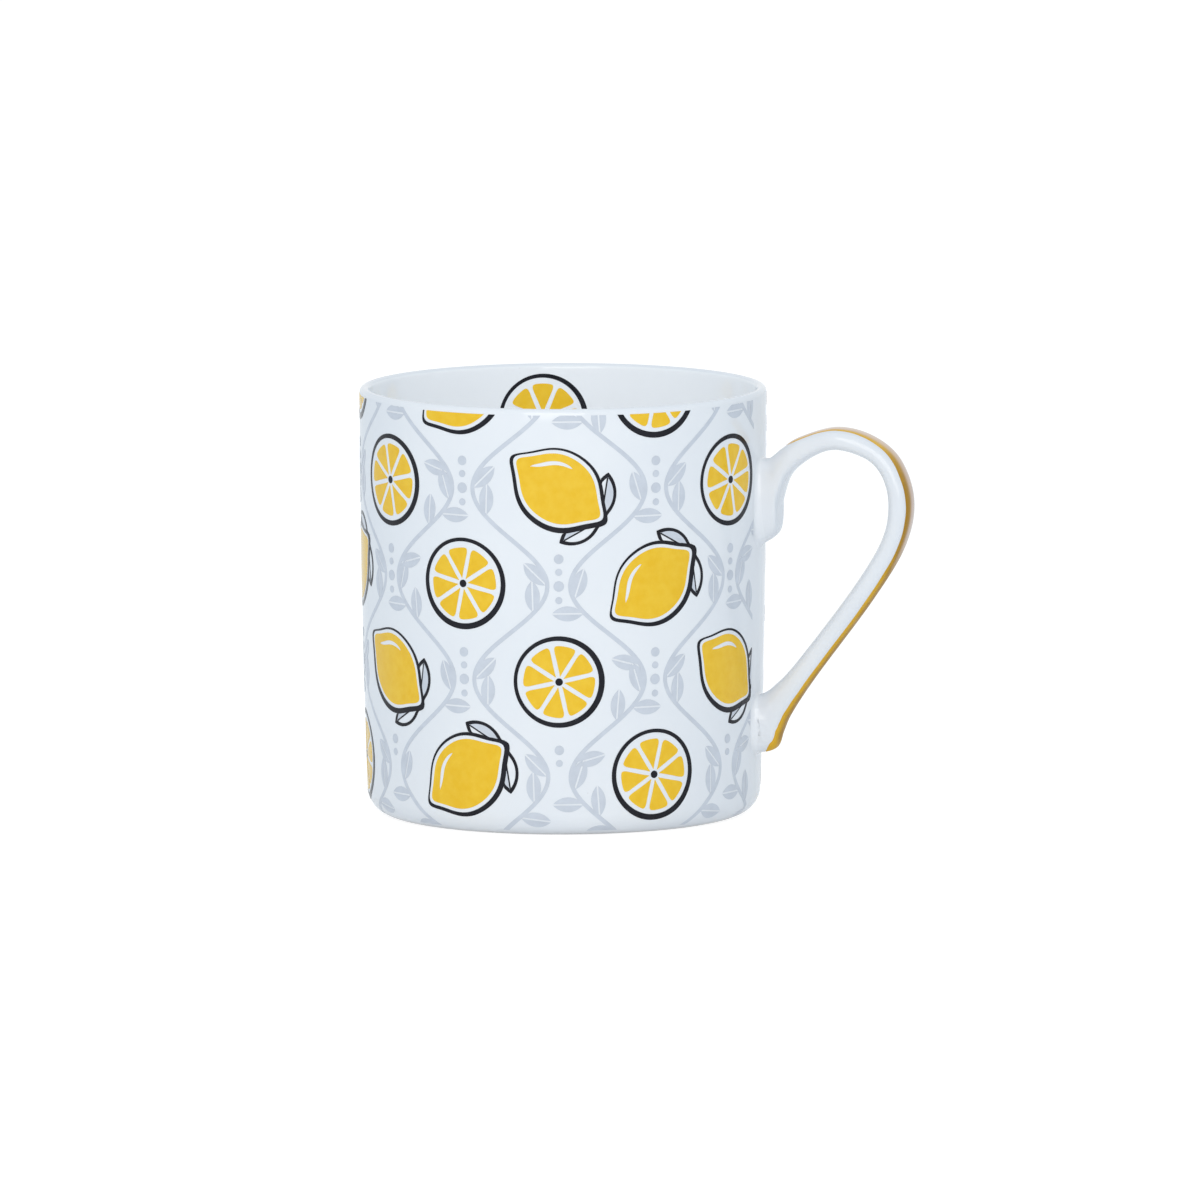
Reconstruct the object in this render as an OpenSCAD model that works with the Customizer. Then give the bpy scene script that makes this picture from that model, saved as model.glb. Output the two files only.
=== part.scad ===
// Bone china mug with a cast strap handle, an enamel line on the handle's back
// and a fired print of lemons in a leafy trellis.
// Millimetres. The origin is on the mug's axis, on the table. +Z is up and the handle is on +X.

/* [Body] */
// Height from the table to the top of the lip
mug_h = 85; // [82:1:100]
// Outside diameter at the lip
rim_d = 80.6; // [76:0.2:90]
// How much narrower the wall is at the table than at the lip
wall_draw = 3; // [0:0.2:6]
// Thickness of the rounded lip
lip_t = 1.9; // [1.4:0.1:2.6]
// Thickness of the wall at the bottom
wall_t = 2.8; // [2.6:0.1:4]
// Thickness of the floor
floor_t = 3.2; // [2:0.1:6]
// Radius of the rounded edge between the wall and the foot
foot_round = 5; // [3:0.5:6]
// Radius between the wall and the floor inside
inside_round = 7; // [4:0.5:12]
// Width of the foot ring that meets the table
foot_ring_w = 3; // [2:0.5:6]
// Depth of the recess inside the foot ring
foot_recess = 1.2; // [0.6:0.1:2]

/* [Handle] */
// Width of the strap, across its back
strap_w = 8.6; // [7.4:0.2:9]
// How much wider the strap is where it meets the wall
pad_flare = 0.4; // [0:0.1:0.8]
// Squareness of the strap's section, where 2 is an oval
strap_square = 2.7; // [2:0.1:4]
// Thickness of the slip that joins the handle to the wall
slip_t = 0.3; // [0.2:0.1:0.6]
// How far the slip shows round the end of the handle
slip_edge = 0.6; // [0.3:0.1:0.8]

/* [Enamel] */
// Width of the line painted along the back of the handle, as a share of the strap's width
line_w = 0.82; // [0.4:0.02:0.9]
// Thickness of the fired enamel and ink
ink_t = 0.08; // [0.06:0.01:0.2]
// Plain wall from the middle of the handle to the end of the print, on -Y
plain_near = 5.4; // [5.2:0.1:12]
// Plain wall from the middle of the handle to the start of the print, on +Y
plain_far = 9.4; // [5.2:0.1:12]
// Height of the print's lower edge, on the rounded bottom edge
print_low = 1.2; // [1:0.1:2]
// White band between the print and the top of the lip
print_gap = 1.2; // [1.2:0.1:4]

/* [Print] */
// Columns of fruit round the wall
columns = 12; // [8:2:12]
// Height from one fruit to the next in a column
row_pitch = 38; // [34:0.5:44]
// Tilt of the lemons, left and right in turn
lemon_tilt = 35; // [0:1:60]
// Radius of a lemon slice
slice_r = 9; // [6:0.1:9.5]
// Radius of a lemon's round middle
lemon_r = 7.6; // [5:0.1:8]
// Length of a lemon from tip to tip
lemon_l = 23; // [20:0.5:25]
// Width of the black lines
pen_w = 0.75; // [0.5:0.05:1]
// How far the vines of the grey trellis swing to each side
vine_wave = 7.6; // [4:0.2:8]
// Length of a leaf on those vines
leaf_l = 6.2; // [4:0.2:7]
// Leaves on each side of a vine for each row of fruit
leaf_rows = 7; // [4:1:9]
// Direction of the one slice inside the rim, from the handle
inner_turn = 109; // [60:1:300]
// Distance from the top of the lip to that slice
inner_gap = 2; // [1.5:0.5:10]

/* [Hidden] */
$fn = 96;

china = "#eef1f6";
slip_white = "#e6eaf1";
line_yellow = "#dfa528";
ink_yellow = "#f3c12f";
ink_black = "#2b2b35";
ink_grey = "#d5d8e0";

// Body: the outside draws in along a shallow curve, and the inside is a little steeper
wall_steps = 6;
arc_steps = 9;
lip_steps = 10;
lip_z = mug_h - lip_t / 2;
floor_z = foot_recess + floor_t;
function wall_r(z) = rim_d / 2 - wall_draw / 2 * pow(1 - z / mug_h, 2);
function bore_r(z) = wall_r(z) - lip_t - (wall_t - lip_t) * (1 - z / mug_h);
function arc(x, z, r, from, to, steps) =
    [for (i = [0:steps]) let (a = from + (to - from) * i / steps) [x + r * cos(a), z + r * sin(a)]];
function spread(from, to, steps) = [for (i = [0:steps]) from + (to - from) * i / steps];
function backwards(list) = [for (i = [len(list) - 1:-1:0]) list[i]];

foot_out_r = wall_r(foot_round) - foot_round;
foot_in_r = foot_out_r - foot_ring_w;
recess_r = foot_in_r - foot_recess;
inside_z = floor_z + inside_round;
outside_edge = concat(
    arc(foot_out_r, foot_round, foot_round, -90, 0, arc_steps),
    [for (z = spread(foot_round, lip_z, wall_steps)) if (z > foot_round) [wall_r(z), z]]
);
inside_edge = [for (z = spread(lip_z, inside_z, wall_steps)) if (z < lip_z) [bore_r(z), z]];

// Handle: outer and inner edge of the strap, seen from the side, station by station.
// Each point is [distance out from the wall's middle radius, height]. The ends lie on the wall.
// They are drawn for a lip of drawn_rim_r, and move out with a wider one.
wall_mid_r = 40;
drawn_rim_r = 40.3;
stations = [
    [[0, 71.7], [0, 54.2]],
    [[2.1, 71.7], [3.9, 57]],
    [[4.6, 73.7], [4.25, 62.6]],
    [[8.2, 76], [6.8, 69]],
    [[15.4, 78], [14.1, 73.5]],
    [[22.5, 76.4], [21.1, 72.35]],
    [[28.1, 71.8], [24.8, 69]],
    [[30.85, 63.6], [26.25, 63.4]],
    [[29.1, 54.6], [24.95, 56.2]],
    [[22.65, 43.8], [18.95, 46.2]],
    [[11.05, 28.1], [7.5, 31.1]],
    [[6.2, 20.75], [2.95, 26.3]],
    [[4.5, 16.95], [1.1, 24.9]],
    [[3.3, 13.9], [0.4, 24.6]],
    [[0, 12.8], [0, 24.5]]
];
last = len(stations) - 1;
ring_steps = 4;
ring_sides = 20;
flare_run = 2.5;
cap_rings = [1 / 3, 2 / 3];
wall_out = rim_d / 2 - drawn_rim_r;

// A smooth curve through a list of points, at u steps from the first
function blend(a, b, c, d, t) =
    (2 * b + (c - a) * t + (2 * a - 5 * b + 4 * c - d) * t * t + (3 * b - a - 3 * c + d) * t * t * t) / 2;
function curve_at(list, u) =
    let (end = len(list) - 1, i = max(0, min(floor(u), end - 1)))
    blend(list[max(0, i - 1)], list[i], list[i + 1], list[min(end, i + 2)], u - i);
strap_edges = [for (edge = [0, 1]) [for (station = stations) station[edge]]];
function edge_at(u, edge) = curve_at(strap_edges[edge], u);
function strap_w_at(u) = strap_w + pad_flare * pow(max(0, 1 - min(u, last - u) / flare_run), 2);
function signed_pow(x, p) = sign(x) * pow(abs(x), p);
function wall_x(y, z, gap) = sqrt(pow(wall_r(z) + gap, 2) - y * y);

// A point of the strap: along runs from the inner edge, -1, to the outer edge, 1.
// Round its skin, the angle starts at the middle of the back and size 1 is the skin itself.
function strap_point(u, along, y) =
    let (outer = edge_at(u, 0), inner = edge_at(u, 1))
    let (middle = (outer + inner) / 2, half = (outer - inner) / 2, p = middle + half * along)
    [wall_mid_r + wall_out + p[0], y, p[1]];
function skin_point(u, a, size = 1) =
    let (e = 2 / strap_square, half = size * strap_w_at(u) / 2)
    strap_point(u, size * signed_pow(cos(a), e), half * signed_pow(sin(a), e));
function on_joint(p) = [wall_x(p[1], p[2], slip_t), p[1], p[2]];
function strap_ring(u, size) = [
    for (j = [0:ring_sides - 1])
        let (p = skin_point(u, 360 * j / ring_sides, size))
        u == 0 || u == last ? on_joint(p) : p
];
handle_rings = concat(
    [for (f = cap_rings) strap_ring(0, f)],
    [for (i = [0:last * ring_steps]) strap_ring(i / ring_steps, 1)],
    [for (f = backwards(cap_rings)) strap_ring(last, f)]
);

// Enamel line: a brush stroke that starts thin where the arch leaves the pad, widens from station
// grow_from to grow_to as the brush is pressed down, and ends on the tail.
line_first = 0.8;
grow_from = 4.5;
grow_to = 6.8;
line_from = 2.25;
line_to = 13.6;
line_taper = 0.8;
line_round = 0.6;
line_points = 10;
line_thin = 0.15;
line_steps = ring_steps * (line_to - line_from);
function ease(x) = sqrt(max(0, 1 - pow(1 - min(1, x), 2)));
function line_pressed(u) = sin(90 * max(0, min(1, (u - grow_from) / (grow_to - grow_from))));
function line_half(u) =
    let (opened = ease((u - line_from) / line_taper) * ease((line_to - u) / line_round))
    line_w * (line_first + (1 - line_first) * pow(line_pressed(u), 2)) * max(line_thin, opened);
function skin_angle(share) = asin(signed_pow(share, strap_square / 2));
function skin_out(u, a) =
    let (d = edge_at(u, 0) - edge_at(u, 1), e = 2 - 2 / strap_square)
    let (out = d / pow(norm(d), 2) * signed_pow(cos(a), e), side = signed_pow(sin(a), e) / strap_w_at(u))
    [out[0], side, out[1]] / norm([out[0], side, out[1]]);
function line_point(u, share, lift) =
    let (a = skin_angle(share))
    skin_point(u, a) + skin_out(u, a) * lift;
function line_side(u, lift) = [
    for (k = [0:line_points]) line_point(u, line_half(u) * (2 * k / line_points - 1), lift)
];
line_rings = [
    for (u = spread(line_from, line_to, line_steps)) concat(line_side(u, ink_t), backwards(line_side(u, 0)))
];

// Print: fruit in a half-drop layout, each in a cell of a leafy trellis of vines that climb the wall
start_angle = plain_far / wall_mid_r * 180 / PI;
end_angle = 360 - plain_near / wall_mid_r * 180 / PI;
column_angle = (end_angle - start_angle) / columns;
column_w = column_angle * PI / 180 * wall_mid_r;
print_top = mug_h - print_gap;
first_row = 12;
rows = [-1:2];
leaf_step = row_pitch / leaf_rows / 2;
leaf_lean = 46;
leaf_plump = 0.48;
leaf_start = 0.3;
leaf_sides = 24;
vine_w = 0.85;
vine_over = 3;
vine_steps = 48;
vine_gap = 2.2;
lemon_room = [13.4, 11.6];
slice_room = [11, 11];
sprig_l = 9.4;
sprig_w = 4.6;
sprig_out = 10.2;
sprig_turn = 116;
lemon_plump = 0.42;
lemon_tip_inset = 2.6;
glint_share = 0.72;
rind_w = 1.3 * pen_w;
pith_w = 1.7 * pen_w;
core_r = 2 * pen_w;
spoke_w = 1.2 * pen_w;
spoke_turn = 45;
prism_in = 26;
prism_out = 48;

function odd(n) = abs(n % 2) == 1;
function turn_at(x) = start_angle + x / column_w * column_angle;
fruit = [
    for (c = [0:columns - 1], k = rows)
        let (z = first_row + row_pitch * (k + (odd(c) ? 0.5 : 0)), flip = odd(floor(c / 2) + k))
        if (z > -slice_r / 2 && z < mug_h + slice_r / 2)
            [(c + 0.5) * column_w, z, flip == odd(c), flip ? -lemon_tilt : lemon_tilt]
];
function vine_x(v, z) =
    v * column_w + (odd(v) ? 1 : -1) * vine_wave * cos(360 * (z - first_row) / row_pitch);
function vine_aim(v, z) = atan2(2, vine_x(v, z + 1) - vine_x(v, z - 1));
function turned(p, a) = [p[0] * cos(a) - p[1] * sin(a), p[0] * sin(a) + p[1] * cos(a)];
function room_used(p, f) =
    let (d = turned(p - [f[0], f[1]], -f[3]), room = f[2] ? lemon_room : slice_room)
    norm([d[0] / room[0], d[1] / room[1]]);
function clear_of_fruit(p) = min([for (f = fruit) room_used(p, f)]) > 1;
function leaves(v) = [
    for (i = [0:floor((mug_h + row_pitch / 2) / leaf_step)])
        let (z = first_row - row_pitch / 2 + leaf_step * i, side = odd(i) ? 1 : -1)
        let (root = [vine_x(v, z), z], aim = vine_aim(v, z) + side * leaf_lean)
        let (tip = root + (leaf_start + leaf_l) * [cos(aim), sin(aim)])
        let (gap = abs(tip[0] - vine_x(v - side, tip[1])))
        if (gap > vine_gap && clear_of_fruit(tip) && clear_of_fruit((root + tip) / 2)) [root, aim]
];
function vine_side(v, z, side) =
    let (aim = vine_aim(v, z))
    [vine_x(v, z), z] + side * vine_w / 2 * [-sin(aim), cos(aim)];

module vine(v) {
    zs = spread(-vine_over, mug_h + vine_over, vine_steps);
    polygon(concat(
        [for (z = zs) vine_side(v, z, 1)],
        [for (z = backwards(zs)) vine_side(v, z, -1)]
    ));
    for (leaf = leaves(v))
        translate(leaf[0])
            rotate(leaf[1])
                translate([leaf_start + leaf_l / 2, 0]) lens(leaf_l, leaf_l * leaf_plump, $fn = leaf_sides);
}

module lens(length, width) {
    r = (length * length + width * width) / (4 * width);
    intersection() {
        translate([0, r - width / 2]) circle(r);
        translate([0, width / 2 - r]) circle(r);
    }
}

module lemon_shape(inset) {
    circle(lemon_r - inset);
    lens(lemon_l - lemon_tip_inset * inset, lemon_l * lemon_plump - 2 * inset);
}

module lemon_lines() {
    difference() {
        lemon_shape(0);
        lemon_shape(pen_w);
    }
    difference() {
        for (side = [-1, 1])
            translate([sprig_out, 0])
                rotate(side * sprig_turn)
                    translate([sprig_l / 2, 0])
                        difference() {
                            lens(sprig_l, sprig_w, $fn = leaf_sides);
                            lens(sprig_l - 3 * pen_w, sprig_w - 2 * pen_w, $fn = leaf_sides);
                        }
        lemon_shape(pen_w / 2);
    }
}

module lemon_fill() {
    glint_r = lemon_r * glint_share;
    difference() {
        lemon_shape(2 * pen_w);
        difference() {
            translate([-pen_w, pen_w]) circle(glint_r);
            translate([pen_w, -pen_w]) circle(glint_r + pen_w);
        }
    }
}

module slice_lines() {
    difference() {
        circle(slice_r);
        circle(slice_r - rind_w);
    }
    circle(pen_w);
}

module slice_fill() {
    difference() {
        circle(slice_r - rind_w - pith_w);
        circle(core_r);
        for (a = [0:spoke_turn:180 - spoke_turn])
            rotate(a) square([2 * slice_r, spoke_w], center = true);
    }
}

module through_wall(turn, z) {
    rotate([0, 0, turn])
        translate([prism_in, 0, z])
            rotate([90, 0, 90])
                linear_extrude(prism_out - prism_in) children();
}

// A point of the outside edge moved out square to the surface
function raised(p) =
    let (c = [foot_out_r, max(p[1], foot_round)], d = p - c)
    p + d / norm(d) * ink_t;

module wall_film() {
    edge = concat(
        [for (p = outside_edge) if (p[1] > print_low && p[1] < print_top) p],
        [[wall_r(print_top), print_top]]
    );
    difference() {
        rotate_extrude() polygon(concat(edge, [for (p = backwards(edge)) raised(p)]));
        linear_extrude(mug_h) polygon([
            [0, 0],
            prism_out * [cos(end_angle), sin(end_angle)],
            [prism_out, 0],
            prism_out * [cos(start_angle), sin(start_angle)]
        ]);
    }
}

module bore_film() {
    edge = concat([[bore_r(lip_z), lip_z]], [for (p = inside_edge) if (p[1] > mug_h / 3) p]);
    rotate_extrude() polygon(concat(edge, [for (p = backwards(edge)) p - [ink_t, 0]]));
}

// A closed skin over a row of rings, with a middle point in each end
module loft(rings, first, final) {
    sides = len(rings[0]);
    count = len(rings);
    ends = count * sides;
    polyhedron(
        concat([for (ring = rings) each ring], [first, final]),
        concat(
            [for (i = [0:count - 2], j = [0:sides - 1])
                let (a = i * sides + j, b = i * sides + (j + 1) % sides)
                each [[a, b, a + sides], [b, b + sides, a + sides]]],
            [for (j = [0:sides - 1]) [ends, (j + 1) % sides, j]],
            [for (j = [0:sides - 1]) [ends + 1, ends - sides + j, ends - sides + (j + 1) % sides]]
        )
    );
}

module slip_joint(u) {
    half = norm(edge_at(u, 0) - edge_at(u, 1)) / 2 + slip_edge;
    middle = (edge_at(u, 0) + edge_at(u, 1))[1] / 2;
    zs = spread(foot_round, lip_z, wall_steps);
    color(slip_white) intersection() {
        rotate_extrude() polygon(concat(
            [for (z = zs) [wall_r(z), z]],
            [for (z = backwards(zs)) [wall_r(z) + slip_t, z]]
        ));
        through_wall(0, middle) polygon([
            for (j = [0:ring_sides - 1])
                let (a = 360 * j / ring_sides, e = 2 / strap_square)
                [(strap_w_at(u) / 2 + slip_edge) * signed_pow(sin(a), e), half * signed_pow(cos(a), e)]
        ]);
    }
}

module mug_body() {
    color(china) rotate_extrude() polygon(concat(
        outside_edge,
        arc(wall_r(lip_z) - lip_t / 2, lip_z, lip_t / 2, 0, 180, lip_steps),
        inside_edge,
        arc(bore_r(inside_z) - inside_round, inside_z, inside_round, 0, -90, arc_steps),
        [[0, floor_z], [0, foot_recess], [recess_r, foot_recess], [foot_in_r, 0]]
    ));
}

module handle() {
    color(china) loft(
        handle_rings,
        on_joint(strap_point(0, 0, 0)),
        on_joint(strap_point(last, 0, 0))
    );
}

module upper_slip_joint() {
    slip_joint(0);
}

module lower_slip_joint() {
    slip_joint(last);
}

module handle_line() {
    color(line_yellow) loft(
        line_rings,
        line_point(line_from, 0, ink_t / 2),
        line_point(line_to, 0, ink_t / 2)
    );
}

module outer_print_grey() {
    color(ink_grey) intersection() {
        wall_film();
        union() {
            for (v = [0:columns])
                through_wall(turn_at(v * column_w), 0) translate([-v * column_w, 0]) vine(v);
        }
    }
}

module outer_print_yellow() {
    color(ink_yellow) intersection() {
        wall_film();
        union() {
            for (f = fruit)
                through_wall(turn_at(f[0]), f[1]) rotate(f[3]) {
                    if (f[2]) lemon_fill();
                    else slice_fill();
                }
        }
    }
}

module outer_print_black() {
    color(ink_black) intersection() {
        wall_film();
        union() {
            for (f = fruit)
                through_wall(turn_at(f[0]), f[1]) rotate(f[3]) {
                    if (f[2]) lemon_lines();
                    else slice_lines();
                }
        }
    }
}

module inner_print_yellow() {
    color(ink_yellow) intersection() {
        bore_film();
        through_wall(inner_turn, mug_h - inner_gap - slice_r) slice_fill();
    }
}

module inner_print_black() {
    color(ink_black) intersection() {
        bore_film();
        through_wall(inner_turn, mug_h - inner_gap - slice_r) slice_lines();
    }
}

mug_body();
handle();
upper_slip_joint();
lower_slip_joint();
handle_line();
outer_print_grey();
outer_print_yellow();
outer_print_black();
inner_print_yellow();
inner_print_black();
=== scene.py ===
import bpy
import math
from mathutils import Matrix, Quaternion, Vector


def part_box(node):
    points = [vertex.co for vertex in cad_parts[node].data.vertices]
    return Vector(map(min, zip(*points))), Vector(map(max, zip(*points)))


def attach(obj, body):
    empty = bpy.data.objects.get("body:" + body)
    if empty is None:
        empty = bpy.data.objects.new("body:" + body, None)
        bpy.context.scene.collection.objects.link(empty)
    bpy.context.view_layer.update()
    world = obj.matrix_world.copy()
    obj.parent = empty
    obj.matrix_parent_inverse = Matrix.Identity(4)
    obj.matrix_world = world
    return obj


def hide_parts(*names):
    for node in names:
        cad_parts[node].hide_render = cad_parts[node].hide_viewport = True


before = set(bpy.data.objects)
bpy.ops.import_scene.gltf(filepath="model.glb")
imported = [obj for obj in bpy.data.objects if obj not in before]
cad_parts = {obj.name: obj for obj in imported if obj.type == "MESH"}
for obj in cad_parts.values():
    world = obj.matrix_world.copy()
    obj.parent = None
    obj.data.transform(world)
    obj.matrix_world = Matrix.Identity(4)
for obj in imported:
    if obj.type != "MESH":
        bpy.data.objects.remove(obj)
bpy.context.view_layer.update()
mm = 0.001
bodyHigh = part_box("mug_body")[1]
mugHeight = bodyHigh.z / mm  # all drawing below is in millimetres
seamGap = 0.002  # points as close as this are merged
print("frame loaded,", len(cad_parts), "nodes, mug", round(mugHeight, 2), "mm high")


# small tools

def clearSelection():
    if bpy.context.object and bpy.context.object.mode != "OBJECT":
        bpy.ops.object.mode_set(mode="OBJECT")
    bpy.ops.object.select_all(action="DESELECT")


def pickOnly(piece):
    clearSelection()
    piece.select_set(True)
    bpy.context.view_layer.objects.active = piece


def editAll(piece):
    pickOnly(piece)
    bpy.ops.object.mode_set(mode="EDIT")
    bpy.ops.mesh.select_mode(type="FACE")
    bpy.ops.mesh.select_all(action="SELECT")


def closeSeams(piece, gap):
    editAll(piece)
    bpy.ops.mesh.remove_doubles(threshold=gap)
    bpy.ops.mesh.dissolve_degenerate(threshold=gap)
    bpy.ops.object.mode_set(mode="OBJECT")


def faceOutwards(piece):
    editAll(piece)
    bpy.ops.mesh.normals_make_consistent(inside=False)
    bpy.ops.object.mode_set(mode="OBJECT")


def applyModifier(piece, kind, **settings):
    pickOnly(piece)
    modifier = piece.modifiers.new(kind.title(), kind)
    for setting, value in settings.items():
        setattr(modifier, setting, value)
    bpy.ops.object.modifier_apply(modifier=modifier.name)


def smoothOver(piece, degrees):
    pickOnly(piece)
    bpy.ops.object.shade_smooth_by_angle(angle=math.radians(degrees))


def fitPiece(piece, node):
    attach(piece, "root")
    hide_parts(node)
    print("piece", piece.name, "stands for", node, "with", len(piece.data.polygons), "faces")


def arcPoints(x, z, radius, start, end, steps):
    turns = [math.radians(start + (end - start) * i / steps) for i in range(steps + 1)]
    return [(x + radius * math.cos(a), z + radius * math.sin(a)) for a in turns]


def spread(start, end, steps):
    return [start + (end - start) * i / steps for i in range(steps + 1)]


def signedPower(x, power):
    return math.copysign(abs(x) ** power, x)


def curveAt(points, u):
    last = len(points) - 1
    i = max(0, min(int(u), last - 1))
    t = u - i
    a, b, c, d = (points[max(0, min(last, i + k))] for k in (-1, 0, 1, 2))
    bow = (2 * a - 5 * b + 4 * c - d) * t ** 2 + (3 * b - a - 3 * c + d) * t ** 3
    return (2 * b + (c - a) * t + bow) / 2


# the clay body

bodyShape = {
    "rimRadius": bodyHigh.y / mm,
    "wallDraw": 3,  # how much narrower the wall is at the table
    "lip": 1.9,
    "wall": 2.8,
    "floor": 3.2,
    "footRound": 5,
    "insideRound": 7,
    "footRing": 3,
    "footRecess": 1.2,
    "footBevel": 0.35,
    "bareBelow": 0.1,  # the foot is wiped clean of glaze up to here
    "bevelRows": 3,
    "bevelAngle": 25,
    "insideMargin": 0.2,  # skin this close to the bore takes the paler inside glaze, painted light that stands in for light through the thin china
    "turns": 192,
    "wallRows": 36,
    "arcRows": 16,
    "floorRows": 3,
    "smoothAngle": 40,
}


def wallRadius(z):
    return bodyShape["rimRadius"] - bodyShape["wallDraw"] / 2 * (1 - z / mugHeight) ** 2


def boreRadius(z):
    taper = (bodyShape["wall"] - bodyShape["lip"]) * (1 - z / mugHeight)
    return wallRadius(z) - bodyShape["lip"] - taper


footRound = bodyShape["footRound"]
footOutRadius = wallRadius(footRound) - footRound


def bodyOutline():
    shape = bodyShape
    recess = shape["footRecess"]
    floorZ = recess + shape["floor"]
    lipRadius = shape["lip"] / 2
    lipZ = mugHeight - lipRadius
    insideZ = floorZ + shape["insideRound"]
    footInRadius = footOutRadius - shape["footRing"]
    floorEdge = boreRadius(insideZ) - shape["insideRound"]
    wallHeights = spread(footRound, lipZ, shape["wallRows"])
    boreHeights = spread(lipZ, insideZ, shape["wallRows"])
    outline = [(r, recess) for r in spread(0, footInRadius - recess, shape["floorRows"])]
    outline += [(footInRadius, 0)]
    outline += arcPoints(footOutRadius, footRound, footRound, -90, 0, shape["arcRows"])
    outline += [(wallRadius(z), z) for z in wallHeights[1:]]
    outline += arcPoints(wallRadius(lipZ) - lipRadius, lipZ, lipRadius, 0, 180, shape["arcRows"])[1:]
    outline += [(boreRadius(z), z) for z in boreHeights[1:]]
    outline += arcPoints(floorEdge, insideZ, shape["insideRound"], 0, -90, shape["arcRows"])[1:]
    outline += [(r, floorZ) for r in spread(floorEdge, 0, shape["floorRows"])[1:]]
    return [Vector((r, 0, z)) * mm for r, z in outline]


def makeBody(glaze, insidePaintedLightGlaze, bareClay):
    shape = bodyShape
    clearSelection()
    outline = bodyOutline()
    bpy.ops.mesh.primitive_plane_add(size=mm)
    body = bpy.context.object
    body.name = "mugBody"
    bpy.ops.object.mode_set(mode="EDIT")
    bpy.ops.mesh.merge(type="CENTER")  # one point, drawn out along the outline
    bpy.ops.transform.translate(value=outline[0])
    for here, there in zip(outline, outline[1:]):
        bpy.ops.mesh.extrude_region_move(TRANSFORM_OT_translate={"value": there - here})
    bpy.ops.mesh.select_all(action="SELECT")
    bpy.ops.mesh.spin(steps=shape["turns"], angle=math.tau, center=(0, 0, 0), axis=(0, 0, 1))
    bpy.ops.object.mode_set(mode="OBJECT")
    closeSeams(body, seamGap * mm)
    faceOutwards(body)
    applyModifier(
        body, "BEVEL", width=shape["footBevel"] * mm, segments=shape["bevelRows"],
        limit_method="ANGLE", angle_limit=math.radians(shape["bevelAngle"]),
    )
    for finish in (glaze, insidePaintedLightGlaze, bareClay):
        body.data.materials.append(finish)
    for face in body.data.polygons:
        middle = face.center / mm
        if middle.z < shape["bareBelow"]:
            face.material_index = 2
        # painted light: faces inside the bore take the paler inside glaze
        elif middle.z > shape["floor"] and middle.xy.length < boreRadius(middle.z) + shape["insideMargin"]:
            face.material_index = 1
    smoothOver(body, shape["smoothAngle"])
    fitPiece(body, "mug_body")


# the strap handle

handleShape = {
    "wallMiddle": 40,
    "stations": [  # outer and inner edge, out from the wall's middle radius and up from the table
        ((0, 71.7), (0, 54.2)),
        ((2.1, 71.7), (3.9, 57)),
        ((4.6, 73.7), (4.25, 62.6)),
        ((8.2, 76), (6.8, 69)),
        ((15.4, 78), (14.1, 73.5)),
        ((22.5, 76.4), (21.1, 72.35)),
        ((28.1, 71.8), (24.8, 69)),
        ((30.85, 63.6), (26.25, 63.4)),
        ((29.1, 54.6), (24.95, 56.2)),
        ((22.65, 43.8), (18.95, 46.2)),
        ((11.05, 28.1), (7.5, 31.1)),
        ((6.2, 20.75), (2.95, 26.3)),
        ((4.5, 16.95), (1.1, 24.9)),
        ((3.3, 13.9), (0.4, 24.6)),
        ((0, 12.8), (0, 24.5)),
    ],
    "width": 8.6,
    "flare": 0.4,
    "flareRun": 2.5,
    "square": 2.7,
    "sink": 0.4,  # how far the ends reach into the wall
    "endMargin": 1e-6,
    "sides": 48,
    "rowsPerStation": 10,
    "smoothAngle": 50,
    "slipEdge": 0.75,
    "slipRun": 0.45,  # how far the slip climbs the handle, in stations
    "slipRows": 8,
    "slipSmooth": 60,
}
lastStation = len(handleShape["stations"]) - 1
strapEdges = [[Vector(station[edge]) for station in handleShape["stations"]] for edge in (0, 1)]


def strapEdge(u, edge):
    return curveAt(strapEdges[edge], u)


def strapWidth(u):
    near = max(0, 1 - min(u, lastStation - u) / handleShape["flareRun"])
    return handleShape["width"] + handleShape["flare"] * near ** 2


def strapPoint(u, along, y):
    outer, inner = strapEdge(u, 0), strapEdge(u, 1)
    p = (outer + inner) / 2 + (outer - inner) / 2 * along
    return Vector((handleShape["wallMiddle"] + p.x, y, p.y))


def strapRing(u, angle):
    power = 2 / handleShape["square"]
    across = signedPower(math.sin(angle), power) * strapWidth(u) / 2
    return strapPoint(u, signedPower(math.cos(angle), power), across)


def strapOut(u, angle):
    power = 2 - 2 / handleShape["square"]
    depth = strapEdge(u, 0) - strapEdge(u, 1)
    out = depth.normalized() * signedPower(math.cos(angle), power) / depth.length
    return Vector((out.x, signedPower(math.sin(angle), power) / strapWidth(u), out.y)).normalized()


def onWall(point, gap):
    r = wallRadius(point.z) + gap
    return Vector((math.sqrt(r * r - point.y ** 2), point.y, point.z))


def rollGrid(name, columns, rows, place):
    clearSelection()
    bpy.ops.mesh.primitive_grid_add(x_subdivisions=columns, y_subdivisions=rows, size=2)
    piece = bpy.context.object
    piece.name = name
    for point in piece.data.vertices:
        point.co = place((point.co.x + 1) / 2, (point.co.y + 1) / 2) * mm
    closeSeams(piece, seamGap * mm)
    return piece


def makeHandle(glaze):
    def place(turn, along):
        u = along * lastStation
        point = strapRing(u, -math.tau * turn)
        atEnd = min(along, 1 - along) < handleShape["endMargin"]
        return onWall(point, -handleShape["sink"]) if atEnd else point

    rows = lastStation * handleShape["rowsPerStation"]
    handle = rollGrid("strapHandle", handleShape["sides"], rows, place)
    editAll(handle)
    bpy.ops.mesh.fill_holes(sides=0)
    bpy.ops.object.mode_set(mode="OBJECT")
    faceOutwards(handle)
    handle.data.materials.append(glaze)
    smoothOver(handle, handleShape["smoothAngle"])
    fitPiece(handle, "handle")


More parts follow.
